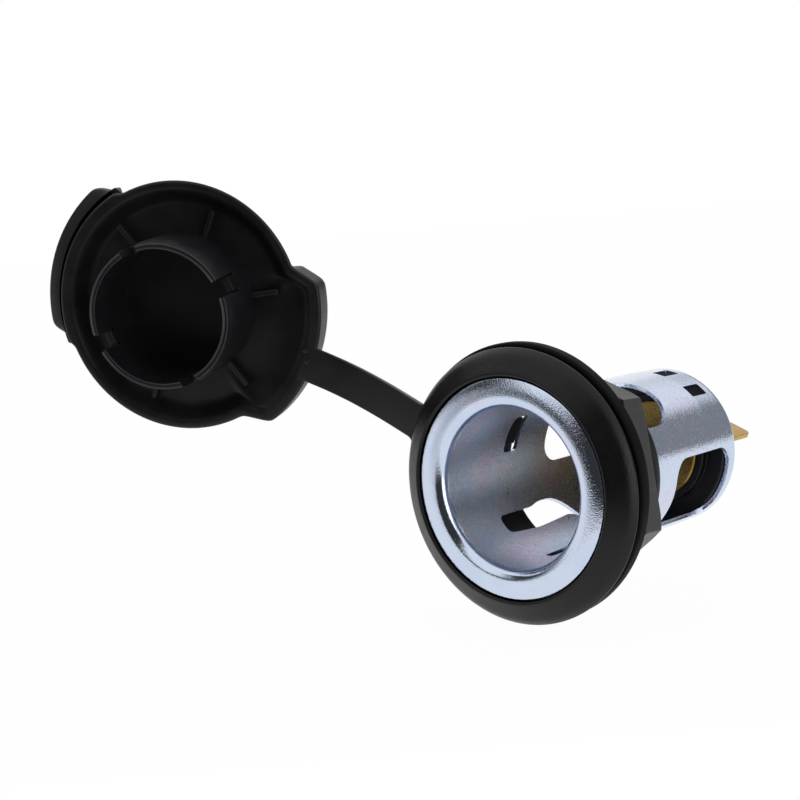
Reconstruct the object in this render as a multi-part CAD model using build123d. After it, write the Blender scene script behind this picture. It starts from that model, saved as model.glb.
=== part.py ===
"""Panel socket for 12 V accessory plugs, with a threaded bezel, a fixing nut and a tethered cap.

The socket's axis is Y. The plug enters from -Y, and the panel's front face is the plane Y = 0.
Z is up. Lengths are in millimetres and angles in degrees, counted from +X towards +Z.
"""

import os
from math import cos, radians, sin, tan

from build123d import *

# Sheet-metal shell that takes the plug
bore_d = 21.5
sheet = 0.55
flange_d = 29.3
flange_y = -5.4
mouth_r = 1.45
flange_fall = 0.45
shell_rear_y = 34.45
rear_edge_r = 0.7
rear_draft = 0.1
rear_draft_y = 28.4
rear_lip_d = 18.6

# Openings in the shell
side_window_angle = -27.0
side_window_width = 10.4
side_window_y = (18.3, 32.3)
side_window_corner = 2.5
slot_angle = 54.5
slot_width = 8.5
slot_round_d = 9.4
slot_y = (4.5, 20.8)
tongue_tip_y = 18.6
tongue_width = 4.4
tongue_offset = -1.1
hook_angles = (151.0, 94.0)
hook_slot_width = 5.7
hook_slot_y = (8.3, 11.4)
latch_angles = (75.7, 48.8)
latch_width = 2.0
latch_y = (28.5, 32.4)
latch_reach = 0.25

# Moulded bezel with its threaded sleeve
bezel_d = 36.8
bezel_crest_d = 31.2
bezel_crest_y = -5.5
bezel_edge_y = -3.8
bezel_edge_r = 1.0
bezel_side_y = -2.8
bezel_rear_d = 35.4
bezel_rear_y = -2.0
recess_gap = 0.2
sleeve_d = 26.0
sleeve_gap = 0.15
sleeve_rear_y = 11.2
sleeve_chamfer = 0.2
hook_width = 4.2
hook_depth = 0.5
hook_gap = 0.25

# Cap moulding: ring, strap and cap
ring_d = 37.05
ring_gap = 0.45
ring_lift = 0.4
ring_edge = 0.5
strap_width = 5.3
strap_thick = 1.8
strap_root = 2.0
strap_flare = 1.2
strap_offset = -0.55
cap_d = 35.8
cap_lug_d = 41.8
cap_grip_d = 42.6
cap_rim = 1.3
cap_lug_rim = 1.7
cap_rim_height = 2.6
cap_back = 1.7
cap_crown = 0.7
lug_root_angle = 40.0
lug_tip_angle = 31.0
collar_d = 20.9
collar_tip_d = 20.1
collar_lead = 2.4
collar_wall = 1.0
collar_height = 8.4
collar_notch_angle = 14.0
collar_notch_depth = 2.2
collar_slit = 0.5
collar_slit_depth = 6.0
rib_thick = 0.9
rib_reach_d = 29.8
rib_count = 6

# Fold of the strap: the cap is drawn shut and swung open about this axis
cap_gap = 0.4
fold_angle = 156.2
fold_bearing = 152.6
fold_reach = 28.85
fold_y = -3.38
fold_skew = 2.84

# Fixing nut
nut_across_flats = 30.0
nut_y = (2.05, 6.5)
nut_gap = 0.3
nut_corner_angle = 37.9
nut_chamfer = 0.9

# Insulator and brass contacts
boss_d = 16.0
insulator_gap = 0.1
shoulder_y = 31.7
hub_d = 18.0
hub_rear_y = 35.6
contact_d = 14.0
contact_y = 30.0
contact_thick = 0.5
contact_edge = 0.25
blade_width = 6.3
blade_thick = 0.8
blade_angle = 65.0
stake_width = 3.2
stake_height = 0.6
centre_tip_y = 53.2
earth_tip_y = 48.0
earth_offset = 7.8
earth_ring_d = 19.8
blade_chamfer = 0.6
blade_hole_d = 1.6
blade_hole_reach = 4.0

# Sizes that follow from the ones above
bore_r = bore_d / 2
tube_r = bore_r + sheet
flange_r = flange_d / 2
sleeve_r = sleeve_d / 2
sleeve_bore_r = tube_r + sleeve_gap
recess_r = flange_r + recess_gap
flange_seat_y = flange_y + sheet
mouth_y = flange_y + mouth_r
rear_inner_y = shell_rear_y - sheet
rim_y = bezel_crest_y - cap_gap
floor_y = rim_y - cap_rim_height
back_y = floor_y - cap_back
fold_axis = Vector(sin(radians(fold_bearing)), tan(radians(fold_skew)), -cos(radians(fold_bearing)))
fold_point = Vector(
    fold_reach * cos(radians(fold_bearing)),
    fold_y,
    fold_reach * sin(radians(fold_bearing)),
)


def polar(radius, angle):
    """Point in a plane at a radius and an angle."""
    return (radius * cos(radians(angle)), radius * sin(radians(angle)))


def turned(*edges):
    """Solid of revolution about the socket's axis from a closed profile of (radius, y) edges."""
    return revolve(make_face(edges), Axis.Y)


def turned_polygon(*points):
    """Solid of revolution about the socket's axis from a polygon of (radius, y) points."""
    return revolve(make_face(Polyline(*points, close=True)), Axis.Y)


def facing_out(angle, y):
    """Plane on the axis that looks outwards at an angle, with its local Y along the socket's axis."""
    outward = Vector(cos(radians(angle)), 0, sin(radians(angle)))
    across = Vector(0, 1, 0).cross(outward)
    return Plane(origin=(0, y, 0), x_dir=across, z_dir=outward)


def looking_back(y, angle):
    """Plane across the axis whose local X lies at an angle and whose local Z points to the rear."""
    return Plane(origin=(0, y, 0), x_dir=(cos(radians(angle)), 0, sin(radians(angle))), z_dir=(0, 1, 0))


def through_wall(angle, y, outline, inner, outer):
    """Radial block with an outline, from one radius to another, at an angle round the axis."""
    plane = facing_out(angle, y).offset(inner)
    return extrude(plane * outline, outer - inner)


def both_sides(blocks):
    """The blocks together with their copies half a turn round the axis."""
    return blocks + [Rot(0, 180, 0) * block for block in blocks]


def window_blocks():
    """Cutters for all the openings in the shell's tube."""
    inner = bore_r / 2
    outer = tube_r + 1
    side_y = sum(side_window_y) / 2
    side_length = side_window_y[1] - side_window_y[0]
    side = RectangleRounded(side_window_width, side_length, side_window_corner)
    hook_y = sum(hook_slot_y) / 2
    hook = RectangleRounded(hook_slot_width, hook_slot_y[1] - hook_slot_y[0], 0.6)
    latch = Rectangle(latch_width, latch_y[1] - latch_y[0])
    blocks = [through_wall(side_window_angle, side_y, side, inner, outer)]
    for angle in hook_angles:
        blocks.append(through_wall(angle, hook_y, hook, inner, outer))
    for angle in latch_angles:
        blocks.append(through_wall(angle, sum(latch_y) / 2, latch, inner, outer))
    blocks = both_sides(blocks)
    blocks.append(through_wall(slot_angle, slot_y[0], long_slot(), inner, outer))
    blocks.append(through_wall(slot_angle + 180, slot_y[0], long_slot() - tongue(), inner, outer))
    return blocks


def long_slot():
    """Outline of a long slot that widens to a round end, along local Y from zero."""
    round_y = slot_y[1] - slot_y[0] - slot_round_d / 2
    straight = Pos(0, round_y / 2) * Rectangle(slot_width, round_y)
    return straight + Pos(0, round_y) * Circle(slot_round_d / 2)


def tongue():
    """Outline of the spring tongue that is left standing in one slot, with a round tip."""
    length = tongue_tip_y - slot_y[0] - tongue_width / 2
    bar = Pos(tongue_offset, (length - 1) / 2) * Rectangle(tongue_width, length + 1)
    return bar + Pos(tongue_offset, length) * Circle(tongue_width / 2)


def socket_shell():
    """Drawn metal cup: rolled flange, plug bore, rear lip, windows, slots and a spring tongue."""
    flat_r = bore_r + mouth_r
    bend_r = flat_r + 1.0
    edge_y = flange_y + flange_fall
    lip_r = rear_lip_d / 2
    rear_r = tube_r - rear_draft
    rear_flat_r = rear_r - rear_edge_r
    rear_bend_y = shell_rear_y - rear_edge_r
    profile = [
        TangentArc((bend_r, flange_y), (flange_r, edge_y), tangent=(1, 0)),
        Line((bend_r, flange_y), (flat_r, flange_y)),
        CenterArc((flat_r, mouth_y), mouth_r, 180, 90),
        Line((bore_r, mouth_y), (bore_r, rear_draft_y)),
        Line((bore_r, rear_draft_y), (rear_r - sheet, rear_bend_y)),
        CenterArc((rear_flat_r, rear_bend_y), rear_edge_r - sheet, 0, 90),
        Line((rear_flat_r, rear_inner_y), (lip_r, rear_inner_y)),
        Line((lip_r, rear_inner_y), (lip_r, shell_rear_y)),
        Line((lip_r, shell_rear_y), (rear_flat_r, shell_rear_y)),
        CenterArc((rear_flat_r, rear_bend_y), rear_edge_r, 0, 90),
        Line((rear_r, rear_bend_y), (tube_r, rear_draft_y)),
        Line((tube_r, rear_draft_y), (tube_r, mouth_y)),
        CenterArc((flat_r, mouth_y), mouth_r - sheet, 180, 90),
        Line((flat_r, flange_seat_y), (bend_r, flange_seat_y)),
        TangentArc((bend_r, flange_seat_y), (flange_r, edge_y + sheet), tangent=(1, 0)),
        Line((flange_r, edge_y + sheet), (flange_r, edge_y)),
    ]
    return turned(*profile) - window_blocks()


def bezel():
    """Moulded front ring and threaded sleeve in one piece, with hooks that hold the shell."""
    rim_r = bezel_d / 2
    crest_r = bezel_crest_d / 2
    seat_r = bore_r + mouth_r + 1.0
    corner = mouth_r - sheet
    recess_y = flange_seat_y + flange_fall + 0.1
    outline = make_face(
        Polyline(
            (sleeve_bore_r, sleeve_rear_y),
            (sleeve_bore_r, mouth_y),
            (sleeve_bore_r + corner, flange_seat_y),
            (seat_r, flange_seat_y),
            (seat_r + 0.3, recess_y),
            (recess_r, recess_y),
            (recess_r, bezel_crest_y + 0.25),
            (crest_r, bezel_crest_y),
            (rim_r, bezel_edge_y),
            (rim_r, bezel_side_y),
            (bezel_rear_d / 2, bezel_rear_y),
            (sleeve_r, bezel_rear_y),
            (sleeve_r, sleeve_rear_y - sleeve_chamfer),
            (sleeve_r - sleeve_chamfer, sleeve_rear_y),
            close=True,
        )
    )
    edge = outline.vertices().sort_by_distance((rim_r, bezel_edge_y))[0]
    body = revolve(fillet(edge, bezel_edge_r), Axis.Y)
    ramp_y = hook_slot_y[0] + hook_gap
    catch_y = hook_slot_y[1] - hook_gap
    hook = Rectangle(hook_width, catch_y - ramp_y)
    hooks = [
        through_wall(angle, (ramp_y + catch_y) / 2, hook, bore_r, sleeve_bore_r + 0.6)
        for angle in hook_angles
    ]
    inside = turned_polygon(
        (sleeve_bore_r, ramp_y),
        (sleeve_bore_r + 0.3, ramp_y),
        (sleeve_bore_r + 0.3, catch_y),
        (sleeve_bore_r - hook_depth, catch_y),
    )
    return body + [block & inside for block in both_sides(hooks)]


def tab(length, flare):
    """Strap root: a short flat tab that widens towards what carries it, along local X."""
    half = strap_width / 2
    return make_face(
        [
            Line((length, -half), (length, half)),
            Line((length, half), (flare, half)),
            RadiusArc((flare, half), (0, half + flare), -flare),
            Line((0, half + flare), (-flare, half + flare)),
            Line((-flare, half + flare), (-flare, -half - flare)),
            Line((-flare, -half - flare), (0, -half - flare)),
            RadiusArc((0, -half - flare), (flare, -half), -flare),
            Line((flare, -half), (length, -half)),
        ]
    )


def cap_ring():
    """Ring of the cap moulding, clamped behind the bezel, with the root of the strap."""
    outer = ring_d / 2
    inner = sleeve_r + ring_gap
    ring = turned_polygon(
        (inner, bezel_rear_y),
        (outer - ring_edge, bezel_rear_y),
        (outer, bezel_rear_y + ring_edge),
        (outer, -ring_edge),
        (outer - ring_edge, 0),
        (inner, 0),
    )
    middle = bezel_rear_y / 2
    plane = looking_back(middle - strap_thick / 2, fold_bearing)
    root = extrude(plane * (Pos(outer - 0.2, strap_offset) * tab(strap_root, strap_flare)), strap_thick)
    return Pos(0, 0, ring_lift) * ring + root


def lug_outline(reach_d, inset):
    """Sector of the cap beside the strap, with its corners cut off, on a plane whose X is the strap's way."""
    tip = reach_d / 2 - inset
    root = cap_d / 2 - inset
    upper = polar(tip, lug_tip_angle)
    lower = polar(tip, -lug_tip_angle)
    return make_face(
        [
            Line((0, 0), polar(root, lug_root_angle)),
            Line(polar(root, lug_root_angle), upper),
            ThreePointArc(upper, (tip, 0), lower),
            Line(lower, polar(root, -lug_root_angle)),
            Line(polar(root, -lug_root_angle), (0, 0)),
        ]
    )


def collar(shut):
    """Plug collar of the cap with four spring fingers, open at its tip."""
    tip_y = rim_y + collar_height
    tip_r = collar_tip_d / 2
    outer_r = collar_d / 2
    wall = turned_polygon(
        (outer_r, floor_y - 0.5),
        (outer_r, tip_y - collar_lead),
        (tip_r, tip_y),
        (outer_r - collar_wall, tip_y),
        (outer_r - collar_wall, floor_y - 0.5),
    )
    notch_width = 2 * tip_r * sin(radians(collar_notch_angle / 2))
    notch_plane = shut.offset(collar_height - collar_notch_depth)
    slit_plane = shut.offset(collar_height - collar_slit_depth)
    cuts = []
    for angle in (45, 135, 225, 315):
        turn = Rot(0, 0, angle)
        cuts.append(extrude(notch_plane * (turn * Pos(tip_r, 0) * Rectangle(4, notch_width)), 4))
        for side in (-1, 1):
            place = Pos(tip_r, side * (notch_width - collar_slit) / 2)
            cuts.append(extrude(slit_plane * (turn * place * Rectangle(4, collar_slit)), 8))
    return wall - cuts


def cap():
    """Cap drawn shut over the mouth, then swung open: dish, lug, grip, collar and gussets."""
    shut = looking_back(rim_y, fold_bearing)
    rim_r = cap_d / 2
    dome = turned(
        Line((0, rim_y), (rim_r, rim_y)),
        Line((rim_r, rim_y), (rim_r - 0.3, rim_y - 1.2)),
        ThreePointArc(
            (rim_r - 0.3, rim_y - 1.2),
            (rim_r - 1.4, floor_y - 0.6),
            (rim_r - 4.0, back_y),
        ),
        ThreePointArc((rim_r - 4.0, back_y), (rim_r / 2, back_y - 0.75 * cap_crown), (0, back_y - cap_crown)),
        Line((0, back_y - cap_crown), (0, rim_y)),
    )
    back = shut.offset(-cap_rim_height - cap_back)
    lug = extrude(back * lug_outline(cap_lug_d, 0), cap_rim_height + cap_back)
    grip = extrude(back * (Rot(0, 0, 180) * lug_outline(cap_grip_d, 0)), cap_back)
    back_edges = (lug + grip).edges().group_by(Axis.Y)[0]
    flaps = chamfer(back_edges.filter_by(GeomType.CIRCLE), 0.9)
    dish_r = rim_r - cap_rim
    dish = turned_polygon((0, rim_y + 1), (dish_r, rim_y + 1), (dish_r, floor_y), (0, floor_y))
    pocket = extrude(shut.offset(-cap_rim_height) * lug_outline(cap_lug_d, cap_lug_rim), cap_rim_height + 1)
    body = dome + flaps - dish - pocket
    rib_plane = shut.offset(-cap_rim_height - 0.5)
    rib_start = collar_d / 2 - collar_wall / 2
    rib_length = rib_reach_d / 2 - rib_start
    for number in range(rib_count):
        turn = Rot(0, 0, 30 + 360 / rib_count * number)
        outline = turn * Pos(rib_start + rib_length / 2, 0) * Rectangle(rib_length, rib_thick)
        body += extrude(rib_plane * outline, cap_rim_height + 0.5)
    strap_end = Pos(cap_lug_d / 2 - 0.1, strap_offset) * tab(strap_root, strap_flare)
    body += extrude(shut.offset(-strap_thick) * strap_end, strap_thick)
    body += collar(shut)
    return swung_open(body)


def swung_open(shape):
    """A shape drawn with the cap shut, turned about the fold to where the cap stands open."""
    return shape.rotate(Axis(fold_point, fold_axis), -fold_angle)


def strap():
    """Flexible strap from the ring's root to the cap's root, as it lies with the cap open."""
    ring_end = ring_d / 2 - 0.2 + strap_root
    cap_end = cap_lug_d / 2 - 0.1 + strap_root
    out = Vector(cos(radians(fold_bearing)), 0, sin(radians(fold_bearing)))
    across = Vector(0, 1, 0).cross(out)
    start = out * ring_end + across * strap_offset + Vector(0, bezel_rear_y / 2, 0)
    end = out * cap_end + across * strap_offset + Vector(0, rim_y - strap_thick / 2, 0)
    section = Rectangle(strap_width, strap_thick)
    first = Plane(origin=start, x_dir=across, z_dir=out) * section
    shut_end = Plane(origin=end, x_dir=across, z_dir=out)
    last = swung_open(shut_end * section)
    path = Spline([start, last.face().center()], tangents=[out, -last.face().normal_at()])
    return sweep([first, last], path=path, multisection=True)


def fixing_nut():
    """Hexagon nut on the sleeve, chamfered at its rear corners."""
    length = nut_y[1] - nut_y[0]
    corner_r = nut_across_flats / 2 / cos(radians(30))
    hexagon = RegularPolygon(corner_r, 6)
    body = extrude(looking_back(nut_y[0], nut_corner_angle) * hexagon, length)
    round_off = turned_polygon(
        (sleeve_r + nut_gap, nut_y[0]),
        (corner_r + 1, nut_y[0]),
        (corner_r + 1, nut_y[1] - nut_chamfer / 2 - 0.5),
        (corner_r - nut_chamfer, nut_y[1]),
        (sleeve_r + nut_gap + 0.5, nut_y[1]),
        (sleeve_r + nut_gap, nut_y[1] - 0.5),
    )
    return body & round_off


def insulator():
    """Moulded rear insulator: boss for the contact, shoulder under the shell's lip, hub and latches."""
    shoulder_r = bore_r - rear_draft - insulator_gap
    boss_y = contact_y + contact_thick
    ring_y = rear_inner_y - blade_thick
    hub_r = hub_d / 2
    body = turned_polygon(
        (0, boss_y),
        (boss_d / 2, boss_y),
        (boss_d / 2, shoulder_y),
        (shoulder_r, shoulder_y),
        (shoulder_r, ring_y),
        (hub_r, ring_y),
        (hub_r, hub_rear_y - 0.4),
        (hub_r - 0.4, hub_rear_y),
        (0, hub_rear_y),
    )
    gap = 0.15
    latch_end_y = latch_y[1] - gap
    latch_start_y = latch_y[0] + gap
    outline = Rectangle(latch_width - 2 * gap, latch_end_y - latch_start_y)
    middle_y = (latch_start_y + latch_end_y) / 2
    latches = [
        through_wall(angle, middle_y, outline, bore_r - 1.0, bore_r + latch_reach)
        for angle in latch_angles
    ]
    blade = looking_back(boss_y - 1, blade_angle) * Rectangle(blade_thick, blade_width)
    slot = extrude(blade, hub_rear_y - boss_y + 2)
    flat_x = earth_offset - 0.2
    flat = looking_back(ring_y, blade_angle + 90) * (Pos(flat_x + 3, 0) * Rectangle(6, blade_width + 1))
    return body + both_sides(latches) - slot - extrude(flat, 4)


def contact_disc():
    """Round centre contact with a softened edge and a slot for the staked blade."""
    radius = contact_d / 2
    back = contact_y + contact_thick
    disc = turned_polygon(
        (0, contact_y),
        (radius - contact_edge, contact_y),
        (radius, contact_y + contact_edge),
        (radius, back),
        (0, back),
    )
    slot = looking_back(contact_y - 1, blade_angle) * Rectangle(blade_thick, stake_width)
    return disc - extrude(slot, 3)


def blade_outline(length):
    """Flat blade with its tip corners cut off and a catch hole, along local Y from zero."""
    half = blade_width / 2
    flat = make_face(
        Polyline(
            (-half, 0),
            (half, 0),
            (half, length - blade_chamfer),
            (half - blade_chamfer, length),
            (-half + blade_chamfer, length),
            (-half, length - blade_chamfer),
            close=True,
        )
    )
    return flat - Pos(0, length - blade_hole_reach) * Circle(blade_hole_d / 2)


def centre_terminal():
    """Centre blade: staked through the contact, through the insulator's slot and out at the rear."""
    start = contact_y + contact_thick
    flat = facing_out(blade_angle, start).offset(-blade_thick / 2)
    blade = extrude(flat * blade_outline(centre_tip_y - start), blade_thick)
    stake_length = contact_thick + stake_height
    stake = flat * (Pos(0, -stake_length / 2) * Rectangle(stake_width, stake_length))
    return blade + extrude(stake, blade_thick)


def earth_terminal():
    """Earth ring trapped under the shell's rear lip, with a blade bent up from its inner edge."""
    start = rear_inner_y - blade_thick
    ring = turned_polygon(
        (hub_d / 2 + 0.1, start),
        (earth_ring_d / 2, start),
        (earth_ring_d / 2, rear_inner_y),
        (hub_d / 2 + 0.1, rear_inner_y),
    )
    reach = hub_d / 2 + 0.6 - earth_offset
    foot = Pos(earth_offset + reach / 2, 0) * Rectangle(reach, blade_width)
    flat = facing_out(blade_angle + 90, start).offset(earth_offset)
    blade = extrude(flat * blade_outline(earth_tip_y - start), blade_thick)
    return ring + extrude(looking_back(start, blade_angle + 90) * foot, blade_thick) + blade


pieces = {
    "socket_shell": socket_shell(),
    "bezel": bezel(),
    "cap_ring": cap_ring(),
    "strap": strap(),
    "cap": cap(),
    "fixing_nut": fixing_nut(),
    "insulator": insulator(),
    "contact_disc": contact_disc(),
    "centre_terminal": centre_terminal(),
    "earth_terminal": earth_terminal(),
}

os.makedirs("parts", exist_ok=True)
for name, piece in pieces.items():
    export_step(piece, f"parts/{name}.step")
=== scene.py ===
import cmath
from math import asin, ceil, copysign, cos, pi, radians, sin, tan

import bmesh
import bpy
import numpy as np
from mathutils import Matrix, Vector
from mathutils.geometry import delaunay_2d_cdt


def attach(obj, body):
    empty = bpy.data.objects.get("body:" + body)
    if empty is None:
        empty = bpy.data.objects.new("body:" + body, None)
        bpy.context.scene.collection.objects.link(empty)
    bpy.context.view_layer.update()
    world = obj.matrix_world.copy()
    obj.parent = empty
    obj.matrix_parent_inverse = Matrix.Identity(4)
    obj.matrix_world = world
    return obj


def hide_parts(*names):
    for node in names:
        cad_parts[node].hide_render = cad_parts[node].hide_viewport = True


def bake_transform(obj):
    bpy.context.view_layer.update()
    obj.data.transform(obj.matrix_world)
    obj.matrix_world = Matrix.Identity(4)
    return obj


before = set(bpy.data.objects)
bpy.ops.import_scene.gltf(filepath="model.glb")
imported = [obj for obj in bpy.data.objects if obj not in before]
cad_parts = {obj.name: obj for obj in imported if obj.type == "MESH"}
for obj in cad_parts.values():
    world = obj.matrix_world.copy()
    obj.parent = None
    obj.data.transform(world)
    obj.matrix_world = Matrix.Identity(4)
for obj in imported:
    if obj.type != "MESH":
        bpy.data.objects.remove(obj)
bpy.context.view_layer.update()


# Socket shell: a cup drawn from sheet steel and plated with bright bluish zinc. The mouth is rolled
# out to a flange and the rear is turned in over the earth ring. Windows, hook slots, latch slots and
# two long slots are pierced in its wall, and a spring tongue is left standing in one of these.
shell_bore_r = 10.75
shell_sheet = 0.55
shell_flange_y = -5.4
shell_bend_r = 5.6
shell_crest_r = 12.5
shell_edge_r = 14.45
shell_edge_round = 0.35
shell_edge_end = radians(52)
shell_mouth_tilt = radians(5)
shell_columns = 208
shell_rows = 73
shell_seam = 15.0
shell_bore_y = -3.5
shell_wall_y = (4.0, 33.75)
shell_taper = 0.1
shell_taper_y = 28.4
shell_lip_round = 0.15
shell_lip_r = (9.3, 9.9, 10.5)
opening_step = 0.3
opening_gap = 0.17
window_angle = -27.0
hook_angles = (151.0, 94.0)
latch_angles = (75.7, 48.8)
tongue_angle = 234.5
tongue_y = (4.5, 18.6)
tongue_lean = 1.2
tongue_sides = (-1.6, 4.7)


def at(radius, angle, y):
    """Point at a radius and an angle round the socket's axis, from millimetres and degrees."""
    return Vector((radius * cos(radians(angle)), y, radius * sin(radians(angle)))) * 0.001


def rounded(corners, step):
    """Closed outline through (x, y, radius) corners, each rounded, with no run longer than the step."""
    knots = []
    for i, (x, y, radius) in enumerate(corners):
        here = complex(x, y)
        back = complex(*corners[i - 1][:2]) - here
        on = complex(*corners[(i + 1) % len(corners)][:2]) - here
        back /= abs(back)
        turn = cmath.phase(-on / back)
        if radius == 0:
            knots.append(here)
            continue
        start = here + back * radius * tan(abs(turn) / 2)
        centre = start - back * 1j * copysign(radius, turn)
        count = max(2, ceil(abs(turn) / 0.26))
        knots += [centre + (start - centre) * cmath.exp(1j * turn * k / count) for k in range(count + 1)]
    points = []
    for a, b in zip(knots, knots[1:] + knots[:1]):
        count = max(1, ceil(abs(b - a) / step))
        points += [a + (b - a) * k / count for k in range(count)]
    return [(p.real, p.imag) for p in points]


def skin(bm, rings, joined=False):
    """Faces between rings of points. A ring of one point is a pole. joined closes the last to the first."""
    rows = [[bm.verts.new(point) for point in ring] for ring in rings]
    pairs = list(zip(rows, rows[1:]))
    if joined:
        pairs.append((rows[-1], rows[0]))
    for first, second in pairs:
        count = max(len(first), len(second))
        for i in range(count):
            j = (i + 1) % count
            corners = [first[i % len(first)], first[j % len(first)]]
            corners += [second[j % len(second)], second[i % len(second)]]
            bm.faces.new(list(dict.fromkeys(corners)))
    return rows


def revolved(profile, columns, start=0.0):
    """Rings of points round the socket's axis from a profile of (radius, y) points."""
    angles = [start + 360 * i / columns for i in range(columns)]
    return [[at(r, a, y) for a in angles] if r > 0 else [at(0, 0, y)] for r, y in profile]


def inside(points, outline):
    """Which of the points lie inside a closed outline."""
    found = np.zeros(len(points), bool)
    for (x0, y0), (x1, y1) in zip(outline, outline[1:] + outline[:1]):
        crosses = (y0 > points[:, 1]) != (y1 > points[:, 1])
        reach = (x1 - x0) * (points[:, 1] - y0) / (y1 - y0 if y1 != y0 else 1) + x0
        found ^= crosses & (points[:, 0] < reach)
    return found


def shell_openings():
    """Outlines of all the openings on the unrolled wall, as (arc length, y) points."""
    window = [(-5.2, 18.3, 2.5), (5.2, 18.3, 2.5), (5.2, 32.3, 2.5), (-5.2, 32.3, 2.5)]
    hook_slot = [(-2.85, 8.3, 0.6), (2.85, 8.3, 0.6), (2.85, 11.4, 0.6), (-2.85, 11.4, 0.6)]
    low_slot = [(0.1, 8.3, 0.6), (2.85, 8.3, 0.6), (2.85, 11.4, 0.6), (0.1, 11.4, 0.6)]
    latch_slot = [(-1.0, 28.5, 0.2), (1.0, 28.5, 0.2), (1.0, 32.4, 0.2), (-1.0, 32.4, 0.2)]
    root, tip = tongue_y
    round_end = [
        (4.25, root, 0.3), (4.25, 12.0, 3.0), (4.7, 14.2, 3.0), (4.7, 20.8, 4.69),
        (-4.7, 20.8, 4.69), (-4.7, 14.2, 3.0), (-4.25, 12.0, 3.0), (-4.25, root, 0.4),
    ]
    wide_end = [(5.5, root, 0.3), (5.5, 20.8, 4.69)] + round_end[4:-1] + [(-4.25, root, 0.9)]
    tongue = [(-1.5, root, 0.9), (-0.9, 10.5, 12.0), (-1.1, tip, 2.0), (4.4, tip, 2.0), (4.6, root, 0.3)]
    places = [(tongue_angle - 180, round_end), (tongue_angle, wide_end + tongue)]
    places += [(hook_angles[1], hook_slot), (hook_angles[1] + 180, low_slot)]
    for half_turn in (0, 180):
        places += [(window_angle + half_turn, window), (hook_angles[0] + half_turn, hook_slot)]
        places += [(angle + half_turn, latch_slot) for angle in latch_angles]
    outlines = []
    for angle, corners in places:
        middle = radians((angle - shell_seam) % 360)
        outline = rounded(corners, opening_step)
        outlines.append([(shell_bore_r * (middle + asin(x / shell_bore_r)), y) for x, y in outline])
    return outlines


def pierced_wall():
    """Triangles of the unrolled wall with its openings left out: points as (arc length, y), and faces."""
    length = 2 * pi * shell_bore_r
    across = np.linspace(0, length, shell_columns + 1)
    along = np.linspace(*shell_wall_y, shell_rows)
    grid = np.array([(u, v) for v in along for u in across])
    outlines = shell_openings()
    edge = np.array([p for outline in outlines for p in outline])
    keep = np.ones(len(grid), bool)
    for outline in outlines:
        keep &= ~inside(grid, outline)
    for block in np.array_split(np.arange(len(grid)), 20):
        apart = np.hypot(*(grid[block, None] - edge[None]).transpose(2, 0, 1)).min(1)
        keep[block] &= apart > opening_gap
    points = [Vector(p) for p in grid[keep]]
    rims = []
    for outline in outlines:
        first = len(points)
        points += [Vector(p) for p in outline]
        rims += [(first + i, first + (i + 1) % len(outline)) for i in range(len(outline))]
    places, _, faces, *_ = delaunay_2d_cdt(points, rims, [], 0, 1e-6)
    places = np.array(places)
    middles = np.array([places[face].mean(0) for face in faces])
    open_space = np.zeros(len(faces), bool)
    for outline in outlines:
        open_space |= inside(middles, outline)
    return places, [face for face, gone in zip(faces, open_space) if not gone]


def on_wall(u, y):
    """Place on the wall's inside of a point of the unrolled wall. The tongue leans in towards its tip."""
    angle = shell_seam + np.degrees(u / shell_bore_r)
    past_taper = max(0.0, (y - shell_taper_y) / (shell_wall_y[1] - shell_taper_y))
    radius = shell_bore_r - shell_taper * past_taper
    across = shell_bore_r * sin(radians(angle - tongue_angle))
    root, tip = tongue_y
    near_side = cos(radians(angle - tongue_angle)) > 0
    if near_side and tongue_sides[0] < across < tongue_sides[1] and root < y < tip + 0.1:
        radius -= tongue_lean * ((y - root) / (tip - root)) ** 2
    return at(radius, angle, y)


def put(tree, socket, value):
    """Sets a node's input to a value, or links it to another node's output."""
    if isinstance(value, bpy.types.NodeSocket):
        tree.links.new(value, socket)
    else:
        socket.default_value = value


def add(tree, kind, **inputs):
    """Node of a kind, with its inputs set or linked by their names."""
    made = tree.nodes.new(kind)
    for key, value in inputs.items():
        put(tree, made.inputs[key.replace("_", " ")], value)
    return made


def reckon(tree, operation, first, second):
    """Result of a sum of two numbers, each a value or another node's output."""
    made = tree.nodes.new("ShaderNodeMath")
    made.operation = operation
    put(tree, made.inputs[0], first)
    put(tree, made.inputs[1], second)
    return made.outputs[0]


def mingled(tree, share, first, second):
    """Mix of two colours by a share."""
    made = add(tree, "ShaderNodeMix", Factor=share)
    made.data_type = "RGBA"
    put(tree, made.inputs["A"], first)
    put(tree, made.inputs["B"], second)
    return made.outputs["Result"]


def ramp(tree, value, *stops):
    """Colour that follows a value through (place, colour) stops."""
    made = add(tree, "ShaderNodeValToRGB", Fac=value)
    elements = made.color_ramp.elements
    elements.remove(elements[1])
    elements[0].position = stops[0][0]
    for k, (place, colour) in enumerate(stops):
        element = elements.new(place) if k else elements[0]
        element.color = (*colour, 1) if len(colour) == 3 else (colour[0],) * 3 + (1,)
    return made.outputs["Color"]


def finish(name, metallic=0.0, specular=0.5):
    """New material: itself, its node tree, its shader, and a point's place in millimetres."""
    made = bpy.data.materials.new(name)
    made.use_nodes = True
    tree = made.node_tree
    shader = tree.nodes["Principled BSDF"]
    shader.inputs["Metallic"].default_value = metallic
    shader.inputs["Specular IOR Level"].default_value = specular
    place = add(tree, "ShaderNodeVectorMath", Vector=add(tree, "ShaderNodeTexCoord").outputs["Object"])
    place.operation = "SCALE"
    place.inputs["Scale"].default_value = 1000
    return made, tree, shader, place.outputs["Vector"]


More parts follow.
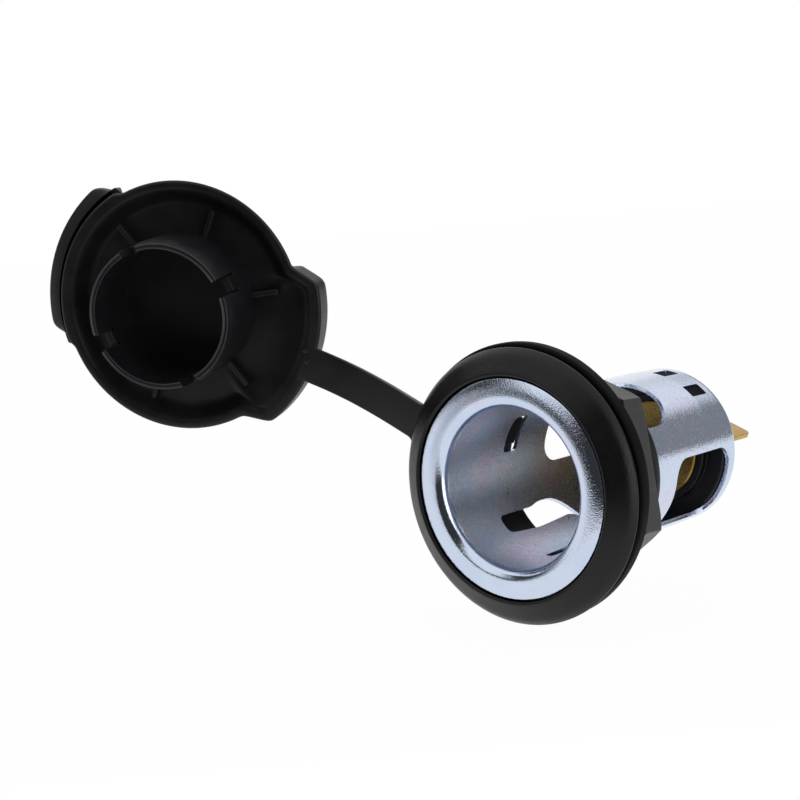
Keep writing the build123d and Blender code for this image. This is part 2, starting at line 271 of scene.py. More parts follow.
def dress(tree, shader, colour, roughness, height, strength, depth):
    """Links a colour, a roughness and a bump of a depth in millimetres to the shader."""
    tree.links.new(colour, shader.inputs["Base Color"])
    tree.links.new(roughness, shader.inputs["Roughness"])
    bump = add(tree, "ShaderNodeBump", Height=height, Strength=strength, Distance=depth * 0.001)
    tree.links.new(bump.outputs["Normal"], shader.inputs["Normal"])


def between(tree, value, start, end, first, last):
    """Number that goes from a first to a last one while a value goes from start to end."""
    made = add(
        tree, "ShaderNodeMapRange", Value=value, From_Min=start, From_Max=end, To_Min=first, To_Max=last)
    made.interpolation_type = "SMOOTHSTEP"
    return made.outputs["Result"]


def bright_zinc():
    """Bluish plated steel: a crystalline skin that breaks up reflections, matt and violet in the bore."""
    made, tree, shader, mm = finish("bright_zinc", metallic=1.0)
    grain = add(tree, "ShaderNodeTexNoise", Vector=mm, Scale=5.0, Detail=2.0, Roughness=0.6).outputs["Fac"]
    speck = add(tree, "ShaderNodeTexNoise", Vector=mm, Scale=2.6, Detail=3.0, Roughness=0.7).outputs["Fac"]
    cloud = add(tree, "ShaderNodeTexNoise", Vector=mm, Scale=0.16, Detail=2.0).outputs["Fac"]
    flat = add(tree, "ShaderNodeVectorMath", Vector=mm)
    flat.operation = "MULTIPLY"
    flat.inputs[1].default_value = (1, 0, 1)
    radius = add(tree, "ShaderNodeVectorMath", Vector=flat.outputs["Vector"])
    radius.operation = "LENGTH"
    depth = add(tree, "ShaderNodeSeparateXYZ", Vector=mm).outputs["Y"]
    inner = between(tree, radius.outputs["Value"], 10.9, 11.15, 1.0, 0.0)
    behind_mouth = between(tree, depth, -4.6, -3.4, 0.0, 1.0)
    in_bore = reckon(tree, "MULTIPLY", inner, behind_mouth)
    outside = ramp(
        tree, cloud, (0.35, (0.56, 0.645, 0.80)), (0.55, (0.60, 0.67, 0.81)), (0.68, (0.62, 0.62, 0.78)))
    bore = ramp(
        tree, cloud, (0.35, (0.59, 0.72, 0.91)), (0.52, (0.68, 0.73, 0.85)), (0.66, (0.74, 0.68, 0.87)))
    colour = mingled(tree, in_bore, outside, bore)
    tube = between(tree, depth, -3.0, 1.0, 0.0, 1.0)
    polished = between(tree, grain, 0.3, 0.7, 0.05, 0.10)
    specked = between(tree, speck, 0.50, 0.66, 0.05, 0.36)
    outer_rough = add(tree, "ShaderNodeMix", Factor=tube, A=polished, B=specked)
    matt = between(tree, grain, 0.3, 0.7, 0.24, 0.37)
    rough = add(tree, "ShaderNodeMix", Factor=in_bore, A=outer_rough.outputs["Result"], B=matt)
    smooth_mouth = between(tree, radius.outputs["Value"], 12.1, 12.9, 0.5, 0.9)
    outer_bump = add(tree, "ShaderNodeMix", Factor=tube, A=smooth_mouth, B=0.7)
    bump = add(tree, "ShaderNodeMix", Factor=in_bore, A=outer_bump.outputs["Result"], B=2.0)
    outer_height = add(tree, "ShaderNodeMix", Factor=tube, A=grain, B=speck).outputs["Result"]
    height = add(tree, "ShaderNodeMix", Factor=in_bore, A=outer_height, B=grain).outputs["Result"]
    dress(tree, shader, colour, rough.outputs["Result"], height, bump.outputs["Result"], 0.03)
    return made


def piece(name, bm, material, sharp=35):
    """Object from a mesh in the making, smooth but for its sharp edges."""
    mesh = bpy.data.meshes.new(name)
    bm.to_mesh(mesh)
    bm.free()
    mesh.shade_smooth()
    mesh.set_sharp_from_angle(angle=radians(sharp))
    mesh.materials.append(material)
    made = bpy.data.objects.new(name, mesh)
    bpy.context.scene.collection.objects.link(made)
    return made


def soften(made, width, angle, segments=2):
    """Rounds the sharp edges of a piece by a width in millimetres."""
    bevel = made.modifiers.new("soft_edges", "BEVEL")
    bevel.width = width * 0.001
    bevel.segments = segments
    bevel.limit_method = "ANGLE"
    bevel.angle_limit = radians(angle)
    bevel.harden_normals = True


def shell_flange():
    """Profile of the flange from its edge over the crest and round the mouth, as (radius, y) points."""
    edge_tilt = asin((shell_edge_r - shell_crest_r) / shell_bend_r)
    edge_y = shell_flange_y + shell_bend_r * (1 - cos(edge_tilt))
    points = []
    for k in range(6):
        tilt = shell_edge_end + (edge_tilt - shell_edge_end) * k / 6
        points.append((
            shell_edge_r + shell_edge_round * (sin(tilt) - sin(edge_tilt)),
            edge_y + shell_edge_round * (cos(edge_tilt) - cos(tilt)),
        ))
    for tilt in np.linspace(edge_tilt, -shell_mouth_tilt, 17):
        points.append((
            shell_crest_r + shell_bend_r * sin(tilt),
            shell_flange_y + shell_bend_r * (1 - cos(tilt)),
        ))
    roll_r, roll_y = points[-1]
    mouth_r = (roll_r - shell_bore_r) / (1 - sin(shell_mouth_tilt))
    for tilt in np.radians(range(10, 91, 5)):
        points.append((
            roll_r - mouth_r * (sin(tilt) - sin(shell_mouth_tilt)),
            roll_y + mouth_r * (cos(shell_mouth_tilt) - cos(tilt)),
        ))
    return points + [(shell_bore_r, y) for y in np.linspace(shell_bore_y, shell_wall_y[0], 16)]


lip_inner, lip_outer, lip_bend_r = shell_lip_r
rear_turn = []
for k in range(7):
    turn = radians(15 * k)
    bend_y = shell_wall_y[1] + shell_lip_round * sin(turn)
    rear_turn.append((lip_bend_r + shell_lip_round * cos(turn), bend_y))
rear_turn += [(r, shell_wall_y[1] + shell_lip_round) for r in (lip_outer, lip_inner)]
bm = bmesh.new()
skin(bm, revolved(shell_flange(), shell_columns, shell_seam))
skin(bm, revolved(rear_turn, shell_columns, shell_seam))
wall_points, wall_faces = pierced_wall()
wall = [bm.verts.new(on_wall(*point)) for point in wall_points]
for face in wall_faces:
    bm.faces.new([wall[i] for i in face])
bmesh.ops.remove_doubles(bm, verts=bm.verts, dist=2e-6)
zinc = bright_zinc()
shell = piece("socket_shell_skin", bm, zinc, sharp=180)
thickness = shell.modifiers.new("sheet", "SOLIDIFY")
thickness.thickness = shell_sheet * 0.001
thickness.offset = -1
soften(shell, 0.1, 55)
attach(shell, "socket")
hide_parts("socket_shell")


# Insulator: a block moulded from black heat-resistant plastic, pushed into the rear of the shell.
# Its boss carries the contact, its shoulder sits under the shell's lip, and four latches snap into
# the wall. A flat on the hub leaves room for the earth blade.
insulator_columns = 180
hub_flat = 7.6
hub_flat_angle = 155.0
hub_flat_half = 26
hub_flat_y = 33.15
latch_width = 1.96
latch_r = (9.8, 10.95)
latch_y = (28.52, 32.38)


def hub_radius(radius, angle, y):
    """Radius of the hub, less its flat beside the earth blade."""
    off = (angle - hub_flat_angle + 180) % 360 - 180
    if y > hub_flat_y and abs(off) < hub_flat_half:
        return min(radius, hub_flat / cos(radians(off)))
    return radius


def moulded_black(name, colour, rough, scale, strength, specular=0.5, highlight_zone=None):
    """Black moulded plastic: fine spark texture, cloudy gloss, and edges lightened for wear and a painted
    highlight, or instead a given zone lightened as a painted highlight.
    """
    made, tree, shader, mm = finish(name, specular=specular)
    grain = add(tree, "ShaderNodeTexNoise", Vector=mm, Scale=scale, Detail=3.0, Roughness=0.65).outputs["Fac"]
    cloud = add(tree, "ShaderNodeTexNoise", Vector=mm, Scale=0.3, Detail=3.0).outputs["Fac"]
    if highlight_zone:
        # A given zone is lightened six times, as a painted highlight.
        wear_and_highlight_share, wear_and_highlight_gain = highlight_zone(tree, mm), 6.0
    else:
        # Convex edges found by pointiness are lightened: part wear, part a painted highlight for the light
        # their fillets catch.
        edge = add(tree, "ShaderNodeNewGeometry").outputs["Pointiness"]
        wear_and_highlight_share, wear_and_highlight_gain = ramp(tree, edge, (0.52, (0.0,)), (0.60, (1.0,))), 1.6
    dark = tuple(0.8 * c for c in colour)
    light = tuple(1.25 * c for c in colour)
    wear_and_highlight_colour = (*[wear_and_highlight_gain * c for c in colour], 1)
    base = ramp(tree, cloud, (0.3, dark), (0.7, light))
    gloss = ramp(tree, cloud, (0.3, (rough - 0.05,)), (0.7, (rough + 0.05,)))
    dress(tree, shader, mingled(tree, wear_and_highlight_share, base, wear_and_highlight_colour), gloss, grain, strength, 0.04)
    return made


def box(bm, angle, width, inner, outer, y0, y1):
    """Block that looks outwards at an angle, from one radius to another."""
    turn = Matrix.Rotation(-radians(angle), 4, "Y")
    size = Matrix.Diagonal((outer - inner, y1 - y0, width, 1000)) * 0.001
    place = Matrix.Translation(Vector(((inner + outer) / 2, (y0 + y1) / 2, 0)) * 0.001)
    bmesh.ops.create_cube(bm, size=1, matrix=turn @ place @ size)


def geometry_tree(name, **inputs):
    """New geometry tree with inputs of named kinds: the tree, its inputs, and its last node."""
    tree = bpy.data.node_groups.new(name, "GeometryNodeTree")
    for label, kind in inputs.items():
        tree.interface.new_socket(label, in_out="INPUT", socket_type="NodeSocket" + kind)
    tree.interface.new_socket("Geometry", in_out="OUTPUT", socket_type="NodeSocketGeometry")
    return tree, tree.nodes.new("NodeGroupInput").outputs, tree.nodes.new("NodeGroupOutput")


def close_tree(tree, given, end, geometry):
    """Ends a geometry tree: copies become real meshes, and the material is set."""
    real = add(tree, "GeometryNodeRealizeInstances", Geometry=geometry).outputs["Geometry"]
    dressed = add(tree, "GeometryNodeSetMaterial", Geometry=real, Material=given["Material"])
    tree.links.new(dressed.outputs["Geometry"], end.inputs["Geometry"])
    return tree


def ring_of_copies(name):
    """Geometry tree that repeats a mesh at equal steps round an axis through the origin."""
    tree, given, end = geometry_tree(
        name, Geometry="Geometry", Count="Int", Axis="Vector", Material="Material")
    line = add(tree, "GeometryNodeMeshLine", Count=given["Count"], Offset=(0, 0, 0))
    index = add(tree, "GeometryNodeInputIndex").outputs["Index"]
    turn = reckon(tree, "MULTIPLY", reckon(tree, "DIVIDE", index, given["Count"]), 2 * pi)
    turned = add(tree, "FunctionNodeAxisAngleToRotation", Axis=given["Axis"], Angle=turn)
    copies = add(
        tree, "GeometryNodeInstanceOnPoints", Points=line.outputs["Mesh"],
        Instance=given["Geometry"], Rotation=turned.outputs["Rotation"],
    )
    return close_tree(tree, given, end, copies.outputs["Instances"])


def grown(made, tree, **inputs):
    """Turns a piece into what a geometry tree makes of it, as a plain mesh."""
    modifier = made.modifiers.new("grown", "NODES")
    modifier.node_group = tree
    for socket in tree.interface.items_tree:
        if socket.in_out == "INPUT" and socket.name in inputs:
            modifier[socket.identifier] = inputs[socket.name]
    bpy.context.view_layer.update()
    result = bpy.data.meshes.new_from_object(made.evaluated_get(bpy.context.evaluated_depsgraph_get()))
    made.modifiers.clear()
    old = made.data
    made.data = result
    result.name = made.name
    bpy.data.meshes.remove(old)
    return made


block = rounded(
    [(0, 30.5, 0), (8.0, 30.5, 0.2), (8.0, 31.7, 0.15), (10.55, 31.7, 0.25), (10.55, 33.1, 0.1),
     (9.0, 33.1, 0.1), (9.0, 35.6, 0.35), (0, 35.6, 0)], 0.7)
block = block[:block.index((0.0, 35.6)) + 1]
bm = bmesh.new()
angles = [360 * i / insulator_columns for i in range(insulator_columns)]
rings = []
for r, y in block:
    rings.append([at(hub_radius(r, a, y), a, y) for a in angles] if r > 0 else [at(0, 0, y)])
skin(bm, rings)
bmesh.ops.recalc_face_normals(bm, faces=bm.faces)
insulator_black = moulded_black("insulator_black", (0.004, 0.004, 0.0052), 0.38, 4.0, 0.12, specular=0.25)
insulator = piece("insulator_block", bm, insulator_black)
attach(insulator, "socket")
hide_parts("insulator")

bm = bmesh.new()
for latch_angle in latch_angles:
    box(bm, latch_angle, latch_width, *latch_r, *latch_y)
# The latches get a darker, duller copy of the insulator's black: painted shade for the slots they sit in.
shaded_latch_black = moulded_black("shaded_latch_black", (0.003, 0.003, 0.0042), 0.6, 4.0, 0.12, specular=0.06)
latches = piece("insulator_latches", bm, shaded_latch_black)
copies_round = ring_of_copies("copies_round_axis")
grown(latches, copies_round, Count=2, Axis=(0, 1, 0), Material=shaded_latch_black)
soften(latches, 0.15, 40)
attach(latches, "socket")


# Contact disc: a round brass stamping on the insulator's boss, with a softened edge. It touches the
# tip of the plug, and the centre blade is staked through it.
disc_r = 7.0
disc_y = (30.0, 30.5)
disc_round = 0.3


def stamped_brass(name, dark, middle, light):
    """Rolled brass: yellow with brown clouds of tarnish and fine rolling lines."""
    made, tree, shader, mm = finish(name, metallic=1.0)
    lines = add(tree, "ShaderNodeMapping", Vector=mm, Scale=(6.0, 0.5, 6.0)).outputs["Vector"]
    grain = add(tree, "ShaderNodeTexNoise", Vector=lines, Scale=1.0, Detail=3.0).outputs["Fac"]
    cloud = add(tree, "ShaderNodeTexNoise", Vector=mm, Scale=0.3, Detail=2.0).outputs["Fac"]
    colour = ramp(tree, cloud, (0.3, dark), (0.5, middle), (0.7, light))
    rough = ramp(tree, grain, (0.3, (0.22,)), (0.7, (0.36,)))
    dress(tree, shader, colour, rough, grain, 0.12, 0.02)
    return made


disc = [(0, disc_y[0])] + [(r, disc_y[0]) for r in np.linspace(0.8, 6.6, 10)]
for k in range(7):
    turn = radians(15 * k)
    disc.append((disc_r - disc_round * (1 - sin(turn)), disc_y[0] + disc_round * (1 - cos(turn))))
disc += [(disc_r, disc_y[1]), (0, disc_y[1])]
bm = bmesh.new()
skin(bm, revolved(disc, 128))
bmesh.ops.recalc_face_normals(bm, faces=bm.faces)
# The disc gets a darker copy of the blades' brass.
darker_brass = stamped_brass(
    "darker_brass", (0.22, 0.13, 0.035), (0.28, 0.18, 0.05), (0.33, 0.22, 0.07))
contact = piece("contact_disc_skin", bm, darker_brass)
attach(contact, "socket")
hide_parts("contact_disc")


# Blade terminals: two blades stamped from brass, with cut corners and a detent hole at the tip. The
# centre one is staked through the contact, and the earth one is bent up from a ring under the
# shell's rear lip.
blade_width = 6.3
blade_thick = 0.8
blade_cut = 0.6
blade_hole = 0.8
hole_from_tip = 4.0
centre_angle = 65.0
centre_y = (30.5, 53.2)
stake_width = 3.2
stake_cut = 0.3
stake_y = (29.4, 30.6)
earth_angle = hub_flat_angle
earth_offset = 7.8
earth_tip_y = 48.0
earth_tab_r = (8.2, 9.6)
earth_ring_y = (33.1, 33.9)
earth_ring_r = (9.1, 9.9)


def blade(bm, angle, offset, y0, y1, width, cut, hole=0.0):
    """Flat blade that looks outwards at an angle, at an offset from the axis, with a hole near its tip."""
    half = width / 2
    tip = [(half, y1 - cut), (half - cut, y1), (cut - half, y1), (-half, y1 - cut)]
    loops = [[(-half, y0), (half, y0)] + tip]
    if hole:
        steps = [radians(15 * k) for k in range(24)]
        loops.append([(hole * cos(step), y1 - hole_from_tip + hole * sin(step)) for step in steps])
    turn = Matrix.Rotation(-radians(angle), 3, "Y")
    flat, rims = [], []
    for loop in loops:
        sides = []
        for depth in (offset, offset + blade_thick):
            sides.append([turn @ Vector((depth, y, x)) * 0.001 for x, y in loop])
        rims.append(skin(bm, sides))
        first = len(flat)
        flat += [(p, (first + i, first + (i + 1) % len(loop))) for i, p in enumerate(loop)]
    points = [Vector(p) for p, _ in flat]
    _, _, faces, *_ = delaunay_2d_cdt(points, [pair for _, pair in flat], [], 0, 1e-6)
    middles = np.array([np.mean([points[i] for i in face], axis=0) for face in faces])
    gone = inside(middles, loops[-1]) if hole else np.zeros(len(faces), bool)
    for side in (0, 1):
        corners = [vert for rim in rims for vert in rim[side]]
        for face, cut_out in zip(faces, gone):
            if not cut_out:
                bm.faces.new([corners[i] for i in face])


brass = stamped_brass("stamped_brass", (0.42, 0.25, 0.07), (0.53, 0.34, 0.10), (0.60, 0.40, 0.15))
bm = bmesh.new()
blade(bm, centre_angle, -blade_thick / 2, *centre_y, blade_width, blade_cut, hole=blade_hole)
blade(bm, centre_angle, -blade_thick / 2, *stake_y, stake_width, stake_cut)
bmesh.ops.recalc_face_normals(bm, faces=bm.faces)
centre = piece("centre_blade", bm, brass)
soften(centre, 0.12, 30)
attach(centre, "socket")
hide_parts("centre_terminal")

bm = bmesh.new()
front, rear = earth_ring_y
inner, outer = earth_ring_r
blade(bm, earth_angle, earth_offset, front, earth_tip_y, blade_width, blade_cut, hole=blade_hole)
skin(bm, revolved([(inner, front), (outer, front), (outer, rear), (inner, rear)], 96), joined=True)
box(bm, earth_angle, blade_width, *earth_tab_r, front, rear)
bmesh.ops.recalc_face_normals(bm, faces=bm.faces)
earth = piece("earth_blade", bm, brass)
soften(earth, 0.12, 30)
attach(earth, "socket")
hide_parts("earth_terminal")


# Bezel: front ring and threaded sleeve moulded in one from black plastic with a fine matt texture.
# The shell's flange lies in its recess, and four hooks on the sleeve hold the shell by its slots.
bezel_columns = 240
thread_pitch = 1.5
thread_root_r = 12.66
thread_length = 9.8
thread_crest = 0.34
thread_start_y = 0.4
hook_width = 4.2
hook_r = (10.95, 11.7)
hook_y = (8.55, 11.15)
hook_lead = 0.04
bezel_profile = rounded(
    [(11.45, 11.2, 0.15), (11.45, -3.95, 0.1), (12.35, -4.85, 0.1), (12.75, -4.82, 0.1), (13.5, -4.3, 0.1),
     (14.85, -4.3, 0.1), (14.85, -5.5, 0.3), (17.8, -3.71, 2.6), (18.39, -2.9, 0.4), (18.39, -2.7, 0.05),
     (17.7, -2.0, 0.2), (thread_root_r, -2.0, 0.1), (thread_root_r, 10.2, 0.1), (12.98, 10.5, 0.1),
     (12.98, 11.2, 0.15)], 0.5)
bm = bmesh.new()
skin(bm, revolved(bezel_profile, bezel_columns), joined=True)
bmesh.ops.recalc_face_normals(bm, faces=bm.faces)
bezel_black = moulded_black("bezel_black", (0.0030, 0.0030, 0.0034), 0.34, 3.4, 1.0, specular=0.3)
bezel = piece("bezel_ring", bm, bezel_black)
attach(bezel, "socket")
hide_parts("bezel")

bm = bmesh.new()
for hook_angle in hook_angles:
    box(bm, hook_angle, hook_width, *hook_r, *hook_y)
for corner in bm.verts:
    at_front = corner.co.y < 0.0005 * sum(hook_y)
    if at_front and Vector((corner.co.x, corner.co.z)).length < 0.0005 * sum(hook_r):
        corner.co += corner.co * Vector((1, 0, 1)) * hook_lead
hooks = piece("bezel_hooks", bm, bezel_black)
grown(hooks, copies_round, Count=2, Axis=(0, 1, 0), Material=bezel_black)
soften(hooks, 0.15, 40)
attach(hooks, "socket")


def sleeve_thread():
    """Geometry tree of a round-crested thread: a helix with a section swept along it."""
    tree, given, end = geometry_tree(
        "sleeve_thread", Radius="Float", Length="Float", Turns="Float", Crest="Float", Material="Material")
    helix = add(
        tree, "GeometryNodeCurveSpiral", Resolution=96, Rotations=given["Turns"],
        Start_Radius=given["Radius"], End_Radius=given["Radius"], Height=given["Length"],
    ).outputs["Curve"]
    section = add(
        tree, "GeometryNodeCurvePrimitiveCircle", Resolution=10, Radius=given["Crest"]).outputs["Curve"]
    ridge = add(tree, "GeometryNodeCurveToMesh", Curve=helix, Profile_Curve=section, Fill_Caps=True)
    smooth = add(tree, "GeometryNodeSetShadeSmooth", Geometry=ridge.outputs["Mesh"])
    return close_tree(tree, given, end, smooth.outputs["Geometry"])


thread = piece("bezel_thread", bmesh.new(), bezel_black)
grown(
    thread, sleeve_thread(), Radius=thread_root_r * 0.001, Length=thread_length * 0.001,
    Turns=thread_length / thread_pitch, Crest=thread_crest * 0.001, Material=bezel_black)
along_axis = Matrix.Rotation(radians(-90), 4, "X")
thread.data.transform(Matrix.Translation((0, thread_start_y * 0.001, 0)) @ along_axis)
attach(thread, "socket")


# Cap ring: the flat ring of the soft black cap moulding, clamped between the bezel and the panel. Its
# bore is wider than the sleeve, so it sits a little high.
ring_lift = 0.4
ring_profile = rounded([(13.45, -2.0, 0.2), (18.52, -2.0, 0.5), (18.52, 0, 0.5), (13.45, 0, 0.2)], 0.6)
bm = bmesh.new()
skin(bm, revolved(ring_profile, 240), joined=True)
bmesh.ops.translate(bm, verts=bm.verts, vec=(0, 0, ring_lift * 0.001))
bmesh.ops.recalc_face_normals(bm, faces=bm.faces)
# The ring gets a darker, duller copy of the cap moulding's black: painted shade for its place between bezel
# and nut.
shaded_ring_black = moulded_black("shaded_ring_black", (0.002, 0.002, 0.0023), 0.6, 3.0, 0.12, specular=0.1)
ring = piece("cap_ring_skin", bm, shaded_ring_black)
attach(ring, "socket")
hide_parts("cap_ring")


# Strap: the flexible band of the soft black cap moulding, which runs from the ring to the cap's lug and
# widens at both roots. It is blended between the two, and so drawn bent with the cap swung over.
fold_angle = 156.2
fold_bearing = radians(152.6)
fold_skew = radians(2.84)
fold_r = 28.85
fold_y = -3.38
fold_point = Vector((fold_r * cos(fold_bearing), fold_y, fold_r * sin(fold_bearing))) * 0.001
fold_axis = Vector((sin(fold_bearing), tan(fold_skew), -cos(fold_bearing)))
cap_rim_y = -5.9
strap_half = 2.65
strap_thick = 1.8
strap_faces = (-0.92, 0.9)
strap_draft = 0.5
strap_root = 1.2
strap_flare_from = -0.6
strap_offset = -0.55
strap_y = -1.0
strap_reach = (20.325, 22.8)
ring_overlap = 2.3
lug_overlap = 3.3
lug_root_at = 1.9
clear_of_roots = 5.0
# Band of heights at the collar's tip that gets a painted highlight.
tip_highlight_heights = (8.12, 8.36)
outwards = Vector((cos(fold_bearing), 0, sin(fold_bearing)))
across_strap = Vector((0, 1, 0)).cross(outwards)
swung = Matrix.Translation(fold_point) @ Matrix.Rotation(-radians(fold_angle), 4, fold_axis)
swung = swung @ Matrix.Translation(-fold_point)


def strap_line():
    """Stations of the strap from the ring to the cap: place, direction, width's direction, way to a root."""
    start = outwards * strap_reach[0] + across_strap * strap_offset + Vector((0, strap_y, 0))
    start = start * 0.001
    end = outwards * strap_reach[1] + across_strap * strap_offset
    end = swung @ ((end + Vector((0, cap_rim_y - strap_thick / 2, 0))) * 0.001)
    leave = outwards
    arrive = swung.to_3x3() @ -outwards
    first_side = across_strap
    last_side = swung.to_3x3() @ across_strap
    if first_side.dot(last_side) < 0:
        last_side = -last_side
    reach = (end - start).length
    stations = []
    for d in np.linspace(-ring_overlap, -0.1, 12):
        stations.append((start + leave * d * 0.001, leave, first_side, d))
    for t in np.linspace(0, 1, 33):
        a, b, c, d = (2*t**3 - 3*t**2 + 1), (t**3 - 2*t**2 + t), (-2*t**3 + 3*t**2), (t**3 - t**2)
        place = start * a + leave * reach * b + end * c + arrive * reach * d
        slope = start * (6*t*t - 6*t) + leave * reach * (3*t*t - 4*t + 1)
        slope += end * (6*t - 6*t*t) + arrive * reach * (3*t*t - 2*t)
        stations.append((place, slope.normalized(), first_side.lerp(last_side, t), clear_of_roots))
    for d in np.linspace(0.1, lug_overlap, 17):
        stations.append((end + arrive * d * 0.001, arrive, last_side, lug_root_at - d))
    return stations, start, end


def strap_flare(left):
    """How much wider each side of the strap is with a way left to its root."""
    rise = min(max((strap_flare_from - left) / strap_root, 0.0), 1.0)
    return strap_root * (1 - (1 - rise * rise) ** 0.5)


def tip_highlight(tree, mm):
    """Share of painted highlight on the cap moulding: a band over the lips of the collar's tip, lightened in
    colour to stand for the light they catch.
    """
    way = (swung.to_3x3() @ Vector((0, 1, 0))).normalized()
    lift = add(tree, "ShaderNodeVectorMath", Vector=mm)
    lift.operation = "DOT_PRODUCT"
    lift.inputs[1].default_value = way
    base = way.dot(swung @ Vector((0, cap_rim_y * 0.001, 0))) * 1000
    low, high = tip_highlight_heights
    return between(tree, lift.outputs["Value"], base + low, base + high, 0.0, 1.0)


# The cap moulding's black, with a painted highlight on the lips of the collar's tip.
cap_black = moulded_black(
    "cap_black", (0.0075, 0.0072, 0.0088), 0.42, 3.0, 0.12, specular=0.3, highlight_zone=tip_highlight)
bm = bmesh.new()
stations, strap_start, strap_end = strap_line()
rings = []
for place, along, side, left in stations:
    face = along.cross(side).normalized()
    side = face.cross(along).normalized()
    wide = strap_half + strap_flare(left)
    slim = wide - strap_draft
    under, over = strap_faces
    section = rounded([(-wide, under, 0.25), (wide, under, 0.25), (slim, over, 0.4), (-slim, over, 0.4)], 20)
    rings.append([place + (side * x + face * y) * 0.001 for x, y in section])
first, *_, last = skin(bm, rings)
bm.faces.new(first)
bm.faces.new(last)
bmesh.ops.recalc_face_normals(bm, faces=bm.faces)
strap = piece("strap_band", bm, cap_black)
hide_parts("strap")
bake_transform(strap)


# Cap: the soft black lid of the moulding. A dished disc with a raised rim, a lug where the strap
# joins it, a thumb grip opposite, a slotted collar that plugs into the mouth, and six small gussets.
cap_columns = 720
cap_r = 17.9
lug_r = 20.9
lug_root = radians(40)
lug_tip = radians(31)
lug_floor = 1.85
lug_floor_half = radians(41)
lug_floor_fade = radians(14)
grip_r = 21.1
grip_seat_r = 18.48
rim_height = 2.15
rim_edge = 0.45
rim_wall = (1.3, 1.7)
dish_slope = 2.7
back_level = -5.0
back_rise = 0.7
back_r = 13.9


def lug_reach(angles, tip, root):
    """Distance from the cap's centre to the lug's outline at each angle from the strap's way."""
    a = np.abs((angles + pi) % (2 * pi) - pi)
    x1, y1 = tip * cos(lug_tip), tip * sin(lug_tip)
    x2, y2 = root * cos(lug_root), root * sin(lug_root)
    slanted = (x1 * y2 - x2 * y1) / (np.cos(a) * (y2 - y1) - np.sin(a) * (x2 - x1))
    return np.where(a < lug_tip, tip, np.where(a < lug_root, slanted, 0))


def eased(values, sigma):
    """Values round a ring with their corners rounded over a few steps."""
    steps = np.arange(-16, 17)
    weights = np.exp(-0.5 * (steps / sigma) ** 2)
    return sum(w * np.roll(values, s) for w, s in zip(weights, steps)) / weights.sum()


def cap_rings():
    """Rings of (along the strap, across, height) points over the back, round the rim and across the floor."""
    angles = np.arange(cap_columns) * 2 * pi / cap_columns
    lug = lug_reach(angles, lug_r, cap_r)
    grip = lug_reach(angles + pi, grip_r, cap_r)
    outer = eased(np.maximum(lug, np.where(grip > 0, grip_seat_r, cap_r)), 2.8)
    flap = eased(np.maximum(grip, cap_r - 0.6), 3.0)
    thin, thick = rim_wall
    inner = eased(np.maximum(lug_reach(angles, lug_r - thick, cap_r - thick), cap_r - thin), 2.4)
    on_lug = eased((lug > 0).astype(float), 1.2)
    on_grip = eased((grip > 0).astype(float), 1.2)
    rows = []
    for r in np.linspace(4, back_r, 10):
        rows.append((np.full(cap_columns, r), back_level + back_rise * (r / back_r) ** 2))
    dome = [(14.6, -4.2), (15.3, -4.02), (15.9, -3.75), (16.3, -3.45), (16.6, -3.1), (16.9, -2.6),
            (17.1, -2.2), (17.25, -1.9), (17.4, -1.6), (17.55, -1.3), (17.7, -0.9), (17.8, -0.6),
            (17.86, -0.3)]
    round_foot = [(-3.2, -4.3), (-0.9, -4.3), (-0.6, -4.2), (-0.3, -3.95), (-0.08, -3.65)]
    lug_side = round_foot + [(0, h) for h in (-3.3, -2.8, -2.3, -1.8, -1.3, -0.9, -0.6, -0.3)]
    grip_side = round_foot + [(0, -3.1), (0, -2.3), (-0.1, -1.95), (-0.35, -1.75)]
    grip_groove = [(19.25, -1.4), (19.12, -3.1), (18.55, -3.1), (grip_seat_r, -0.45)]
    lug_rows = [(outer + r, h) for r, h in lug_side]
    grip_rows = [(flap + r, h) for r, h in grip_side] + grip_groove
    for (r, h), (lug_out, lug_h), (grip_out, grip_h) in zip(dome, lug_rows, grip_rows):
        radius = r + on_lug * (lug_out - r) + on_grip * (grip_out - r)
        height = h + on_lug * (lug_h - h) + on_grip * (grip_h - h)
        rows.append((radius, height))
    width = np.abs((angles + pi) % (2 * pi) - pi)
    raised = np.clip((lug_floor_half - width) / lug_floor_fade, 0, 1)
    raised = lug_floor * raised * raised * (3 - 2 * raised)
    depth = rim_height - raised
    slope = dish_slope * np.sqrt(depth / rim_height)
    for k in range(1, 7):
        turn = radians(15 * k)
        rows.append((outer - rim_edge * (1 - cos(turn)), -rim_edge * (1 - sin(turn))))
    for share in np.linspace(0, 1, 17):
        rows.append((inner + rim_edge - slope * share, -depth * (1 - cos(pi * share)) / 2))
    for share in np.linspace(0.97, 0.3, 16):
        floor_height = raised * max((share - 0.7) / 0.3, 0) ** 2 - rim_height
        rows.append(((inner + rim_edge - slope) * share, floor_height))
    rings = [[(0, 0, back_level)]]
    for radius, height in rows:
        height = np.broadcast_to(height, cap_columns)
        rings.append([(r * cos(a), r * sin(a), h) for r, a, h in zip(radius, angles, height)])
    rings.append([(0, 0, -rim_height)])
    return rings


lid_frame = Matrix((
    (outwards.x, across_strap.x, 0, 0),
    (outwards.y, across_strap.y, 1, cap_rim_y * 0.001),
    (outwards.z, across_strap.z, 0, 0),
    (0, 0, 0, 1),
))
opened = swung @ lid_frame @ Matrix.Diagonal((0.001, 0.001, 0.001, 1))

bm = bmesh.new()
skin(bm, cap_rings())
bmesh.ops.recalc_face_normals(bm, faces=bm.faces)
bm.transform(opened)
cap = piece("cap_lid", bm, cap_black)
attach(cap, "cap")
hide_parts("cap")

